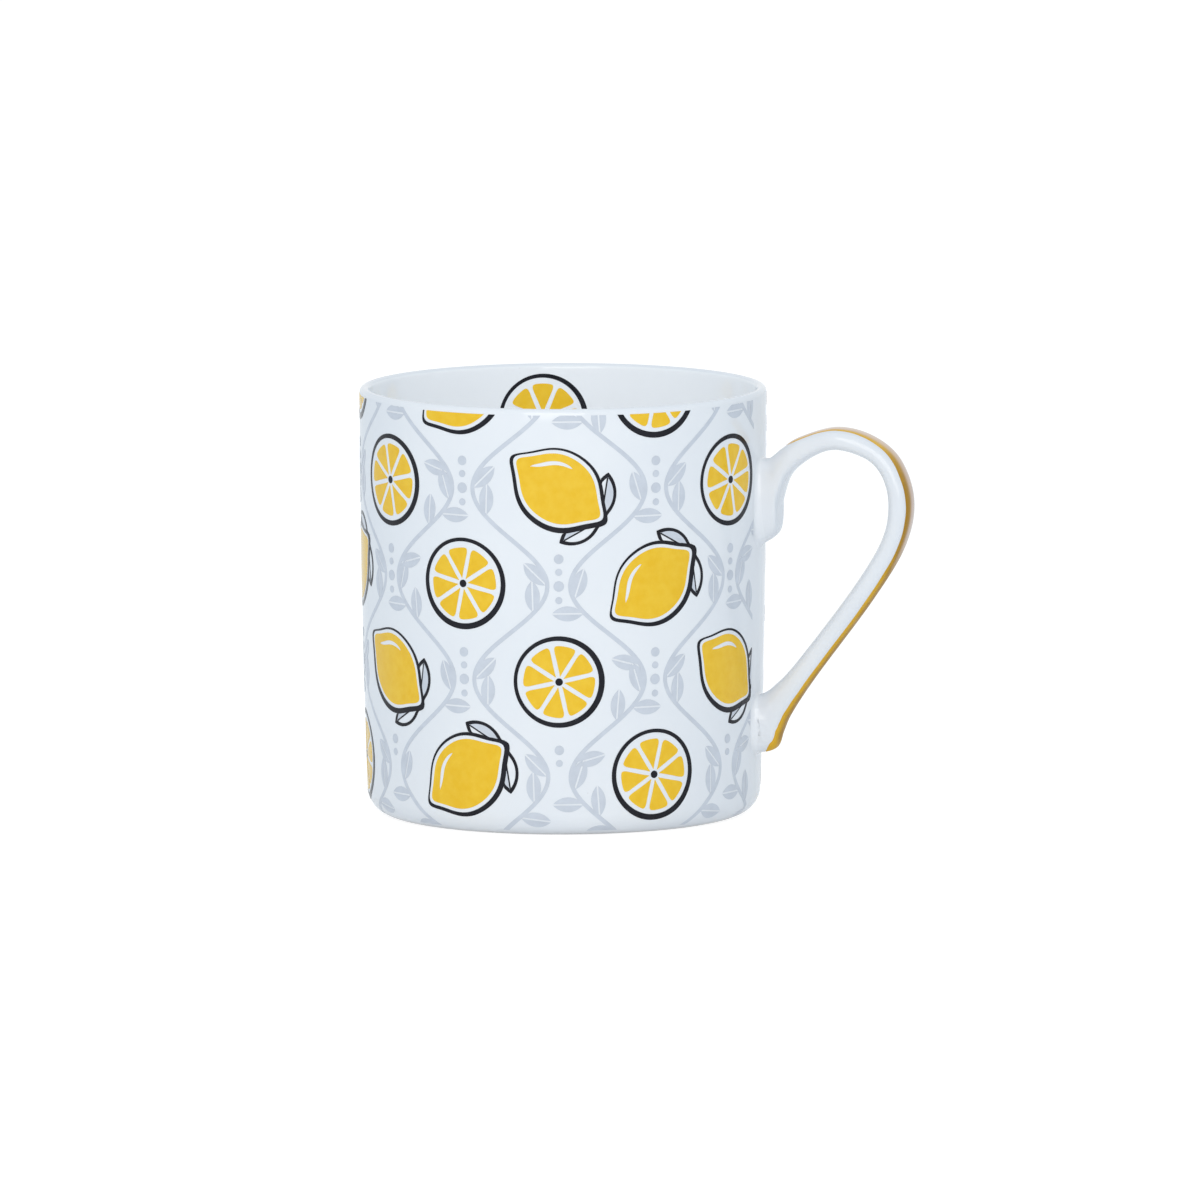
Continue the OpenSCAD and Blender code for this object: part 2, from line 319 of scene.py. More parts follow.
def makeSlip(name, node, end, slipGlaze):
    step = handleShape["slipRun"] if end == 0 else -handleShape["slipRun"]
    outer, inner = strapEdge(end, 0), strapEdge(end, 1)
    middle, half = (outer.y + inner.y) / 2, (outer.y - inner.y) / 2
    power = 2 / handleShape["square"]

    def ringOnWall(angle, grow):
        up = signedPower(math.cos(angle), power) * (half + math.copysign(grow, half))
        across = signedPower(math.sin(angle), power) * (strapWidth(end) / 2 + grow)
        return onWall(Vector((0, across, middle + up)), 0)

    def place(turn, rise):
        angle = -math.tau * turn
        low = ringOnWall(angle, handleShape["slipEdge"])
        corner = ringOnWall(angle, 0)
        high = strapRing(end + step, angle)
        return low * (1 - rise) ** 2 + corner * 2 * rise * (1 - rise) + high * rise ** 2

    slip = rollGrid(name, handleShape["sides"], handleShape["slipRows"], place)
    faceOutwards(slip)
    slip.data.materials.append(slipGlaze)
    smoothOver(slip, handleShape["slipSmooth"])
    fitPiece(slip, node)


# the enamel line on the handle's back

lineShape = {
    "start": 2.25,  # in stations of the strap
    "end": 13.6,
    "width": 0.82,  # share of the strap's width
    "first": 0.8,  # share of that on the arch, before the brush is pressed down
    "grow": (4.5, 6.8),  # where it is pressed down
    "taper": 0.8,
    "roundEnd": 0.6,
    "least": 0.1,
    "thick": 0.06,
    "edgeThin": 0.5,  # share of the thickness that is missing at its edges
    "edgePower": 8,
    "wobble": 0.012,
    "waves": [(5.3, 0), (11.9, 1)],  # radians of the wobble for each station, and its start
    "columns": 32,
    "rows": 270,
    "smoothAngle": 40,
}


def easeIn(x):
    return math.sqrt(max(0, 1 - (1 - min(1, x)) ** 2))


def lineHalf(u):
    shape = lineShape
    growFrom, growTo = shape["grow"]
    pressed = math.sin(math.pi / 2 * max(0, min(1, (u - growFrom) / (growTo - growFrom)))) ** 2
    opened = easeIn((u - shape["start"]) / shape["taper"]) * easeIn((shape["end"] - u) / shape["roundEnd"])
    waves = [math.sin(turn * u + start) for turn, start in shape["waves"]]
    brush = 1 + shape["wobble"] * sum(waves) / len(waves)
    full = shape["width"] * (shape["first"] + (1 - shape["first"]) * pressed)
    return full * brush * max(shape["least"], opened)


def makeLine(enamel):
    shape = lineShape

    def place(across, along):
        u = shape["start"] + (shape["end"] - shape["start"]) * along
        side = 1 - 2 * across
        angle = math.asin(signedPower(side * lineHalf(u), handleShape["square"] / 2))
        lift = shape["thick"] * (1 - shape["edgeThin"] * side ** shape["edgePower"])
        return strapRing(u, angle) + strapOut(u, angle) * lift

    line = rollGrid("handleLine", shape["columns"], shape["rows"], place)
    applyModifier(line, "SOLIDIFY", thickness=shape["thick"] * mm, offset=-1)
    line.data.materials.append(enamel)
    smoothOver(line, shape["smoothAngle"])
    fitPiece(line, "handle_line")


# the print, drawn flat and then wrapped on the wall

printLayout = {
    "plainNear": 5.4,  # bare wall from the middle of the handle, on the side in view
    "plainFar": 9.4,
    "columns": 12,
    "rowPitch": 38,
    "firstRow": 12,
    "rows": range(-1, 3),
    "low": 1.17,
    "topGap": 1.2,
    "film": 0.05,
    "lift": 0.055,
    "fruitTilt": 35,
    "innerTurn": 109,
    "innerGap": 2,
    "drawingGap": 0.004,  # points of a drawing as close as this are merged
    "smoothAngle": 40,
}
startAngle = printLayout["plainFar"] / handleShape["wallMiddle"]
endAngle = math.tau - printLayout["plainNear"] / handleShape["wallMiddle"]
columnAngle = (endAngle - startAngle) / printLayout["columns"]
columnWidth = columnAngle * handleShape["wallMiddle"]
printTop = mugHeight - printLayout["topGap"]


def circleEdge(radius, shift=0):
    return lambda t: (radius * math.cos(math.tau * t) - shift, radius * math.sin(math.tau * t) + shift)


def lensEdge(length, width, centre=0):
    bow = (length ** 2 + width ** 2) / (4 * width)

    def point(t):
        x = length / 2 * math.cos(math.tau * t)
        y = math.sqrt(bow ** 2 - x * x) - (bow - width / 2)
        return centre + x, y if t < 0.5 else -y

    return point


def softLoop(corners):
    def point(t):
        i, f = int(t * len(corners)), t * len(corners) % 1
        a, b, c = (Vector(corners[(i + k) % len(corners)]) for k in (-1, 0, 1))
        p = a * (1 - f) ** 2 / 2 + b * (0.5 + f - f * f) + c * f * f / 2
        return p.x, p.y

    return point


def shrunk(edge, share, centre=(0, 0)):
    def point(t):
        x, y = edge(t)
        return centre[0] + (x - centre[0]) * share, centre[1] + (y - centre[1]) * share

    return point


def drawBands(name, edges, steps, skip=()):
    clearSelection()
    rows = len(edges) - 1
    bpy.ops.mesh.primitive_grid_add(x_subdivisions=steps, y_subdivisions=rows, size=2)
    drawing = bpy.context.object
    drawing.name = name
    for face in drawing.data.polygons:
        face.select = int((face.center.y + 1) / 2 * rows) in skip
    for point in drawing.data.vertices:
        row = round((point.co.y + 1) / 2 * rows)
        point.co = (*edges[row]((point.co.x + 1) / 2), 0)
    if skip:
        bpy.ops.object.mode_set(mode="EDIT")
        bpy.ops.mesh.delete(type="FACE")
    closeSeams(drawing, printLayout["drawingGap"])
    return drawing


def stamp(drawing, x, y, turn=0, lift=0):
    mark = drawing.copy()
    mark.data = drawing.data.copy()
    bpy.context.collection.objects.link(mark)
    mark.data.transform(Matrix.Translation((x, y, lift)) @ Matrix.Rotation(math.radians(turn), 4, "Z"))
    return mark


def joinMarks(name, marks):
    clearSelection()
    for mark in marks:
        mark.select_set(True)
    bpy.context.view_layer.objects.active = marks[0]
    bpy.ops.object.join()
    marks[0].name = name
    return marks[0]


lemonShape = {
    "length": 23,
    "width": 16.2,
    "penTip": 0.9,
    "penSide": 0.75,
    "gap": 0.75,
    "penShift": 0.24,  # the line is heavier low on the right
    "leafLength": 9.4,
    "leafWidth": 4.6,
    "leafBase": 10.2,
    "leafTurn": 116,
    "leafPen": 0.62,
    "vein": 0.3,
    "leafTip": 1.6,  # thickness of the line at a leaf's tips, in leafPen
    "leafSteps": 48,
    "room": (13.4, 11.6),  # kept clear of leaves, along and across
    "middle": 0.84,  # share of the length in the round middle, the rest is tips
    "tipPower": 14,
    "shoulder": 0.25,
    "shoulderPower": 4,
    "glintAt": 0.36,  # middle and reach of the glint round the fruit
    "glintReach": 0.11,
    "glintShare": 0.74,  # where it lies between the middle and the edge, and its half width
    "glintHalf": 0.055,
    "fillOutside": (1, 0.92, 0.83),
    "fillInside": (0.6, 0.45, 0.3, 0.15, 0),
    "tuckGap": 0.01,
    "tuckTries": 30,
    "steps": 96,
}


def lemonEdge(length, width, shift=0):
    shape = lemonShape
    tips = 1 - shape["middle"]

    def point(t):
        c, s = math.cos(math.tau * t), math.sin(math.tau * t)
        x = length / 2 * (shape["middle"] * c + tips * signedPower(c, shape["tipPower"]))
        drawnIn = 1 - shape["shoulder"] * abs(c) ** shape["shoulderPower"]
        return x - shift, width / 2 * s * drawnIn + shift

    return point


def lemonParts():
    shape = lemonShape
    outside = lemonEdge(shape["length"], shape["width"])
    inLength, inWidth = shape["length"] - 2 * shape["penTip"], shape["width"] - 2 * shape["penSide"]
    inside = lemonEdge(inLength, inWidth, shape["penShift"])
    peel = lemonEdge(inLength - 2 * shape["gap"], inWidth - 2 * shape["gap"], shape["penShift"])

    def glintWidth(t):
        return math.sqrt(max(0, 1 - ((t - shape["glintAt"]) / shape["glintReach"]) ** 2))

    def glintEdge(side):
        def point(t):
            x, y = peel(t)
            share = shape["glintShare"] + side * shape["glintHalf"] * glintWidth(t)
            return x * share, y * share

        return point

    fillRows = [shrunk(peel, share) for share in shape["fillOutside"]]
    glintRow = len(fillRows)
    fillRows += [glintEdge(1), glintEdge(-1)]
    fillRows += [shrunk(peel, share) for share in shape["fillInside"]]
    line = drawBands("lemonLine", [outside, inside], shape["steps"])
    fill = drawBands("lemonFill", fillRows, shape["steps"], skip=[glintRow])
    leafLength, leafWidth, pen = shape["leafLength"], shape["leafWidth"], shape["leafPen"]
    leaf = lensEdge(leafLength, leafWidth, leafLength / 2)
    leafInside = lensEdge(leafLength - 2 * shape["leafTip"] * pen, leafWidth - 2 * pen, leafLength / 2)

    def shadeEdge(t):
        return leafInside(0.5 + t / 2)

    def veinEdge(t):
        return shadeEdge(t)[0], -shape["vein"] / 2

    def veinTop(t):
        return shadeEdge(t)[0], shape["vein"] / 2

    lines, shades = [line], []
    leafMarks = [
        ([leaf, leafInside], lines),
        ([veinEdge, veinTop], lines),
        ([shadeEdge, veinEdge], shades),
    ]
    for side in (1, -1):
        turn = math.radians(side * shape["leafTurn"])
        place = Matrix.Translation((shape["leafBase"], 0, 0)) @ Matrix.Rotation(turn, 4, "Z")
        for edges, kept in leafMarks:
            mark = drawBands("lemonLeaf", edges, shape["leafSteps"])
            mark.data.transform(place)
            tuckBehind(mark, outside)
            kept.append(mark)
    return joinMarks("lemonLine", lines), fill, joinMarks("lemonShade", shades)


def tuckBehind(mark, outside):
    for point in mark.data.vertices:
        reach = math.hypot(point.co.x, point.co.y)
        low, high = (0, 0.5) if point.co.y >= 0 else (0.5, 1)
        for _ in range(lemonShape["tuckTries"]):
            t = (low + high) / 2
            x, y = outside(t)
            ahead = x * point.co.y - y * point.co.x > 0
            low, high = (t, high) if ahead else (low, t)
        limit = math.hypot(*outside(low))
        if reach < limit:
            point.co = point.co * (limit / reach)
    closeSeams(mark, lemonShape["tuckGap"])


sliceShape = {
    "radius": 9.1,
    "penShift": 0.16,
    "rind": 0.95,
    "pith": 1.25,
    "segments": 8,
    "spoke": 0.9,
    "core": 0.75,
    "room": (11, 11),
    "pulpPoint": (0.8, 1.4),  # corners of a segment near the core, as shares of where its sides meet
    "pulpWaist": 0.6,  # and further out, as shares of its reach
    "pulpCorner": 0.97,
    "pulpCrown": (1.03, 1.035),
    "pulpMiddle": 0.62,
    "pulpRows": (1, 0.75, 0.5, 0.25, 0),
    "pulpSteps": 40,
    "coreSteps": 24,
    "steps": 96,
}


def sliceParts():
    shape = sliceShape
    rim = [circleEdge(shape["radius"]), circleEdge(shape["radius"] - shape["rind"], shape["penShift"])]
    line = drawBands("sliceLine", rim, shape["steps"])
    core = drawBands("sliceCore", [circleEdge(shape["core"]), circleEdge(0)], shape["coreSteps"])
    reach = shape["radius"] - shape["rind"] - shape["pith"]
    half = math.pi / shape["segments"]
    apex = shape["spoke"] / 2 / math.sin(half)

    def side(r):
        return (r - apex) * math.tan(half)

    tip, flank = (apex * share for share in shape["pulpPoint"])
    waist = reach * shape["pulpWaist"]
    crownLow, crownHigh = (reach * share for share in shape["pulpCrown"])
    corners = [(tip, 0), (flank, -side(flank))]
    corners += [(waist, -side(waist)), (reach * shape["pulpCorner"], -side(reach))]
    corners += [(crownLow, -side(reach) / 2), (crownHigh, side(reach) / 2)]
    corners += [(x, -y) for x, y in reversed(corners[1:4])]
    pulp = softLoop(corners)
    middle = (reach * shape["pulpMiddle"], 0)
    pulpRows = [shrunk(pulp, share, middle) for share in shape["pulpRows"]]
    wedge = drawBands("sliceFill", pulpRows, shape["pulpSteps"])
    wedges = [stamp(wedge, 0, 0, 360 * i / shape["segments"]) for i in range(shape["segments"])]
    bpy.data.objects.remove(wedge)
    return joinMarks("sliceLine", [line, core]), joinMarks("sliceFill", wedges)


vineShape = {
    "wave": 7.6,
    "stem": 0.85,
    "leafLength": 6.2,
    "leafPlump": 0.48,
    "leafLean": 46,
    "leafStart": 0.3,
    "leavesPerRow": 7,
    "vein": 0.34,
    "neighbourGap": 2.2,
    "dots": [(13.6, 0.95), (16.2, 0.7)],  # away from a fruit's middle, and radius
    "dotRoom": 1,  # a dot this close to the tip of a leaf is left out
    "knot": 1.05,  # radius of the dot where two vines come close
    "overlap": 0.005,  # leaves and dots lie this much above what they cross
    "dotLayer": 3,  # leaves take turns on the first two layers
    "over": 3,  # how far a stem runs past the wall before it is trimmed
    "leafOver": 12,
    "stemSteps": 150,
    "leafSteps": 18,
    "dotSteps": 20,
    "dotRows": (1, 0.5, 0),
}


def vineX(vine, z):
    swing = 1 if vine % 2 else -1
    return vine * columnWidth + swing * vineShape["wave"] * math.cos(
        math.tau * (z - printLayout["firstRow"]) / printLayout["rowPitch"]
    )


def vineAim(vine, z):
    return math.atan2(2, vineX(vine, z + 1) - vineX(vine, z - 1))


def vineLeaf():
    shape = vineShape
    length, width = shape["leafLength"], shape["leafLength"] * shape["leafPlump"]
    edge = lensEdge(length, width, shape["leafStart"] + length / 2)
    halves = []
    for side in (0, 0.5):
        def rim(t, side=side):
            return edge(side + t / 2)

        def vein(t, side=side):
            x, y = rim(t)
            return x, math.copysign(min(abs(y), shape["vein"] / 2), 1 if side == 0 else -1)

        halves.append(drawBands("vineLeaf", [rim, vein], shape["leafSteps"]))
    return joinMarks("vineLeaf", halves)


def fruitPlaces():
    places = []
    for c in range(printLayout["columns"]):
        for k in printLayout["rows"]:
            z = printLayout["firstRow"] + printLayout["rowPitch"] * (k + (0.5 if c % 2 else 0))
            flip = (c // 2 + k) % 2 == 1
            tilt = -printLayout["fruitTilt"] if flip else printLayout["fruitTilt"]
            if -sliceShape["radius"] / 2 < z < mugHeight + sliceShape["radius"] / 2:
                places.append(((c + 0.5) * columnWidth, z, flip == (c % 2 == 1), tilt))
    return places


def clearOfFruit(p, places):
    for x, z, isLemon, tilt in places:
        away = Matrix.Rotation(-math.radians(tilt), 2) @ (p - Vector((x, z)))
        reach = lemonShape["room"] if isLemon else sliceShape["room"]
        if (away.x / reach[0]) ** 2 + (away.y / reach[1]) ** 2 < 1:
            return False
    return True


def stemEdge(vine, side):
    over = vineShape["over"]

    def point(t):
        z = -over + (mugHeight + 2 * over) * t
        aim = vineAim(vine, z)
        off = side * vineShape["stem"] / 2
        return vineX(vine, z) - math.sin(aim) * off, z + math.cos(aim) * off

    return point


def leafTip(root, aim):
    reach = vineShape["leafStart"] + vineShape["leafLength"]
    return root + Vector((math.cos(aim), math.sin(aim))) * reach


def leafPlaces(vine, places):
    shape = vineShape
    step = printLayout["rowPitch"] / shape["leavesPerRow"] / 2
    found = []
    for i in range(int((mugHeight + shape["leafOver"]) / step)):
        z = printLayout["firstRow"] - printLayout["rowPitch"] / 2 + step * i
        side = 1 if i % 2 else -1
        aim = vineAim(vine, z) + side * math.radians(shape["leafLean"])
        root = Vector((vineX(vine, z), z))
        tip = leafTip(root, aim)
        apart = abs(tip.x - vineX(vine - side, tip.y)) > shape["neighbourGap"]
        if apart and all(clearOfFruit(p, places) for p in (tip, (root + tip) / 2)):
            found.append((root, aim, tip))
    return found


def vineMarks(places):
    shape = vineShape
    leaf = vineLeaf()
    marks, tips = [], []
    for vine in range(printLayout["columns"] + 1):
        marks.append(drawBands("vineStem", [stemEdge(vine, -1), stemEdge(vine, 1)], shape["stemSteps"]))
        for i, (root, aim, tip) in enumerate(leafPlaces(vine, places)):
            lift = shape["overlap"] * (1 + i % 2)
            marks.append(stamp(leaf, root.x, root.y, math.degrees(aim), lift))
            tips.append(tip)
    half = printLayout["rowPitch"] / 2
    spots = [(away, radius) for reach, radius in shape["dots"] for away in (reach, -reach)]
    for away, radius in [*spots, (half, shape["knot"])]:
        rings = [circleEdge(radius * share) for share in shape["dotRows"]]
        dot = drawBands("vineDot", rings, shape["dotSteps"])
        for x, z, *_ in places:
            spot = Vector((x, z + away))
            if all((tip - spot).length > radius + shape["dotRoom"] for tip in tips):
                marks.append(stamp(dot, *spot, 0, shape["overlap"] * shape["dotLayer"]))
        bpy.data.objects.remove(dot)
    bpy.data.objects.remove(leaf)
    return marks


def trimSheet(sheet):
    right = columnWidth * printLayout["columns"]
    cuts = [
        ((0, printTop), (0, 1)),
        ((0, printLayout["low"]), (0, -1)),
        ((0, 0), (-1, 0)),
        ((right, 0), (1, 0)),
    ]
    for spot, outward in cuts:
        editAll(sheet)
        bpy.ops.mesh.bisect(plane_co=(*spot, 0), plane_no=(*outward, 0), clear_outer=True)
        bpy.ops.object.mode_set(mode="OBJECT")


def outsidePoint(height, lift):
    if height >= footRound:
        return wallRadius(height) + lift, height
    angle = math.asin((height - footRound) / footRound)
    reach = footRound + lift
    return footOutRadius + reach * math.cos(angle), footRound + reach * math.sin(angle)


def wrapOutside(sheet):
    for point in sheet.data.vertices:
        turn = startAngle + point.co.x / columnWidth * columnAngle
        r, z = outsidePoint(point.co.y, printLayout["lift"] + point.co.z)
        point.co = Vector((r * math.cos(turn), r * math.sin(turn), z)) * mm


def wrapInside(sheet):
    start = math.radians(printLayout["innerTurn"])
    middle = mugHeight - printLayout["innerGap"] - sliceShape["radius"]
    for point in sheet.data.vertices:
        z = middle + point.co.y
        r = boreRadius(z) - printLayout["lift"]
        turn = start - point.co.x / boreRadius(z)
        point.co = Vector((r * math.cos(turn), r * math.sin(turn), z)) * mm


def finishInk(sheet, node, ink):
    applyModifier(sheet, "SOLIDIFY", thickness=printLayout["film"] * mm, offset=-1)
    sheet.data.materials.append(ink)
    smoothOver(sheet, printLayout["smoothAngle"])
    fitPiece(sheet, node)


def makePrint(greyInk, yellowInk, blackInk):
    places = fruitPlaces()
    lemonLine, lemonFill, lemonShade = lemonParts()
    sliceLine, sliceFill = sliceParts()
    lines, fills = [], []
    greys = vineMarks(places)
    greys += [stamp(lemonShade, x, z, tilt) for x, z, isLemon, tilt in places if isLemon]
    for x, z, isLemon, tilt in places:
        lines.append(stamp(lemonLine if isLemon else sliceLine, x, z, tilt))
        fills.append(stamp(lemonFill if isLemon else sliceFill, x, z, tilt))
    sheets = [
        (joinMarks("outerPrintGrey", greys), "outer_print_grey", "grey_ink", greyInk),
        (joinMarks("outerPrintYellow", fills), "outer_print_yellow", "yellow_ink", yellowInk),
        (joinMarks("outerPrintBlack", lines), "outer_print_black", "black_ink", blackInk),
    ]
    for sheet, node, slot, ink in sheets:
        trimSheet(sheet)
        wrapOutside(sheet)
        finishInk(sheet, node, ink)
    inner = [
        (stamp(sliceFill, 0, 0), "innerPrintYellow", "inner_print_yellow", "yellow_ink", yellowInk),
        (stamp(sliceLine, 0, 0), "innerPrintBlack", "inner_print_black", "black_ink", blackInk),
    ]
    for sheet, name, node, slot, ink in inner:
        sheet.name = name
        wrapInside(sheet)
        finishInk(sheet, node, ink)
    for drawing in (lemonLine, lemonFill, lemonShade, sliceLine, sliceFill):
        bpy.data.objects.remove(drawing)


# finishes

def addNode(tree, kind, **values):
    node = tree.nodes.new(kind)
    for name, value in values.items():
        if name in node.inputs:
            node.inputs[name].default_value = value
        else:
            setattr(node, name, value)
    return node


def rangeNode(tree, value, start, end, **values):
    span = addNode(tree, "ShaderNodeMapRange", **values)
    span.inputs["From Min"].default_value = start
    span.inputs["From Max"].default_value = end
    tree.links.new(value, span.inputs["Value"])
    return span


driftLook = {
    "cloudDetail": 3.0,
    "cloudRange": (0.32, 0.68),
    "speckRange": (0.16, 0.06),  # edge and full part of a speck, in cells
    "speckAbove": 0.95,  # a cell has a speck where its random grey is above this
    "waveDetail": 1.0,
    "waveScale": 5.0,  # how much finer the waves are than the drift
}


def glazeDriftGroup():
    look = driftLook
    group = bpy.data.node_groups.new("glazeDrift", "ShaderNodeTree")
    group.interface.new_socket("Place", in_out="INPUT", socket_type="NodeSocketVector")
    for name in ("Drift Scale", "Speck Scale"):
        group.interface.new_socket(name, in_out="INPUT", socket_type="NodeSocketFloat")
    for name in ("Drift", "Speck", "Wave"):
        group.interface.new_socket(name, in_out="OUTPUT", socket_type="NodeSocketFloat")
    link = group.links.new
    start = addNode(group, "NodeGroupInput")
    end = addNode(group, "NodeGroupOutput")
    cloud = addNode(group, "ShaderNodeTexNoise", Detail=look["cloudDetail"])
    link(start.outputs["Place"], cloud.inputs["Vector"])
    link(start.outputs["Drift Scale"], cloud.inputs["Scale"])
    level = rangeNode(group, cloud.outputs["Fac"], *look["cloudRange"])
    link(level.outputs["Result"], end.inputs["Drift"])
    cells = addNode(group, "ShaderNodeTexVoronoi")
    link(start.outputs["Place"], cells.inputs["Vector"])
    link(start.outputs["Speck Scale"], cells.inputs["Scale"])
    dot = rangeNode(group, cells.outputs["Distance"], *look["speckRange"])
    few = addNode(group, "ShaderNodeMath", operation="GREATER_THAN")
    few.inputs[1].default_value = look["speckAbove"]
    link(cells.outputs["Color"], few.inputs[0])
    speck = addNode(group, "ShaderNodeMath", operation="MULTIPLY")
    link(dot.outputs["Result"], speck.inputs[0])
    link(few.outputs["Value"], speck.inputs[1])
    link(speck.outputs["Value"], end.inputs["Speck"])
    finer = addNode(group, "ShaderNodeMath", operation="MULTIPLY")
    finer.inputs[1].default_value = look["waveScale"]
    link(start.outputs["Drift Scale"], finer.inputs[0])
    wave = addNode(group, "ShaderNodeTexNoise", Detail=look["waveDetail"])
    link(start.outputs["Place"], wave.inputs["Vector"])
    link(finer.outputs["Value"], wave.inputs["Scale"])
    link(wave.outputs["Fac"], end.inputs["Wave"])
    return group


def startFinish(name, drift, look):
    finish = bpy.data.materials.new(name)
    finish.use_nodes = True
    tree = finish.node_tree
    place = addNode(tree, "ShaderNodeTexCoord")
    group = addNode(tree, "ShaderNodeGroup", node_tree=drift)
    group.inputs["Drift Scale"].default_value = look["driftScale"]
    group.inputs["Speck Scale"].default_value = look["speckScale"]
    tree.links.new(place.outputs["Object"], group.inputs["Place"])
    return finish, tree, tree.nodes["Principled BSDF"], group


def mixColours(tree, amount, first, second):
    mix = addNode(tree, "ShaderNodeMix", data_type="RGBA")
    for socket, value in (("Factor", amount), ("A", first), ("B", second)):
        target = next(s for s in mix.inputs if s.name == socket and s.enabled)
        if isinstance(value, bpy.types.NodeSocket):
            tree.links.new(value, target)
        else:
            target.default_value = value if socket == "Factor" else (*value, 1)
    return next(s for s in mix.outputs if s.enabled)


def setRange(tree, value, low, high):
    span = addNode(tree, "ShaderNodeMapRange")
    span.inputs["To Min"].default_value = low
    span.inputs["To Max"].default_value = high
    tree.links.new(value, span.inputs["Value"])
    return span.outputs["Result"]


def addBump(tree, shader, height, strength, distance):
    bump = addNode(tree, "ShaderNodeBump", Strength=strength, Distance=distance)
    tree.links.new(height, bump.inputs["Height"])
    tree.links.new(bump.outputs["Normal"], shader.inputs["Normal"])


glazeLook = {
    "driftScale": 45,
    "speckScale": 900,
    "speckDepth": 0.3,
    "speckColour": (0.45, 0.43, 0.4),
    "ior": 1.5,
    "bump": (0.12, 0.0004),
    "tones": {  # light, shade and roughness
        "chinaGlaze": ((0.875, 0.885, 0.905), (0.845, 0.86, 0.89), (0.06, 0.12)),
        # painted light: the inside of the cup takes a paler copy of the china glaze, for light that comes
        # through the thin china
        "insidePaintedLightGlaze": ((0.93, 0.938, 0.95), (0.91, 0.92, 0.935), (0.06, 0.12)),
        # painted shade: the handle takes a slightly darker copy of the china glaze, for the handle being
        # less lit than the wall
        "handlePaintedShadeGlaze": ((0.84, 0.85, 0.875), (0.81, 0.825, 0.855), (0.06, 0.12)),
        "slipGlaze": ((0.87, 0.88, 0.9), (0.84, 0.855, 0.885), (0.08, 0.14)),
    },
}


def glazedFinish(name, drift):
    look = glazeLook
    light, shade, rough = look["tones"][name]
    finish, tree, shader, group = startFinish(name, drift, look)
    colour = mixColours(tree, group.outputs["Drift"], light, shade)
    specks = setRange(tree, group.outputs["Speck"], 0, look["speckDepth"])
    colour = mixColours(tree, specks, colour, look["speckColour"])
    tree.links.new(colour, shader.inputs["Base Color"])
    tree.links.new(setRange(tree, group.outputs["Drift"], *rough), shader.inputs["Roughness"])
    shader.inputs["IOR"].default_value = look["ior"]
    addBump(tree, shader, group.outputs["Wave"], *look["bump"])
    return finish


bareLook = {
    "driftScale": 900,
    "speckScale": 1500,
    "light": (0.82, 0.8, 0.76),
    "shade": (0.75, 0.72, 0.67),
    "rough": (0.7, 0.9),
    "bump": (0.4, 0.0002),
}


def bareFinish(drift):
    look = bareLook
    finish, tree, shader, group = startFinish("bareClay", drift, look)
    colour = mixColours(tree, group.outputs["Drift"], look["light"], look["shade"])
    tree.links.new(colour, shader.inputs["Base Color"])
    tree.links.new(setRange(tree, group.outputs["Drift"], *look["rough"]), shader.inputs["Roughness"])
    addBump(tree, shader, group.outputs["Wave"], *look["bump"])
    return finish


inkLook = {
    "driftScale": 500,
    "speckScale": 2600,
    "bump": (0.1, 0.0001),
    "tones": {  # strong and thin ink, roughness and shine
        "greyInk": ((0.61, 0.64, 0.7), (0.66, 0.69, 0.75), (0.1, 0.18), 0.35),
        "yellowInk": ((0.9, 0.53, 0.012), (0.94, 0.59, 0.03), (0.1, 0.18), 0.35),
        "blackInk": ((0.008, 0.008, 0.012), (0.014, 0.014, 0.02), (0.12, 0.22), 0.2),
    },
}


def inkFinish(name, drift):
    look = inkLook
    strong, thin, rough, shine = look["tones"][name]
    finish, tree, shader, group = startFinish(name, drift, look)
    colour = mixColours(tree, group.outputs["Drift"], strong, thin)
    tree.links.new(colour, shader.inputs["Base Color"])
    tree.links.new(setRange(tree, group.outputs["Drift"], *rough), shader.inputs["Roughness"])
    shader.inputs["Specular IOR Level"].default_value = shine
    addBump(tree, shader, group.outputs["Wave"], *look["bump"])
    return finish


enamelLook = {
    "driftScale": 350,
    "speckScale": 2600,
    "bump": (0.1, 0.0001),
    # the plain colour, and a darker colour that stands for random brush patches and for painted shade
    # where the line faces away from the lamps
    "thin": (0.84, 0.48, 0.045),
    "thick": (0.45, 0.225, 0.01),
    "patchy": 0.2,
    "bendShade": (63.5, 71.5),  # painted shade: how far out the stroke starts to darken, and where it is darkest, at the bend that faces away from the lamps
    "edge": (3.4, 1),  # painted shade: below the bend it darkens from its edges to the middle of the strap's back, which faces down
    "arch": (70, 58),  # between these heights that painted shade sets in
    "tail": (13, 17),  # and between these it ends
    "gloss": (48, 60),  # the fired film is dull below these heights and glossy above
    "shine": (0.04, 0.2),
    "dullRough": (0.3, 0.4),
    "glossRough": (0.03, 0.07),
    "paintedReflection": (0.75, 0.55, 0.45),  # painted reflection: where it is glossy, a slanted look mixes the base colour towards this pale colour, for the white surroundings mirrored at a slant
    "slant": (0.6, 0.82),
    "slantBlend": 0.5,
    "paintedReflectionShare": 0.85,
}


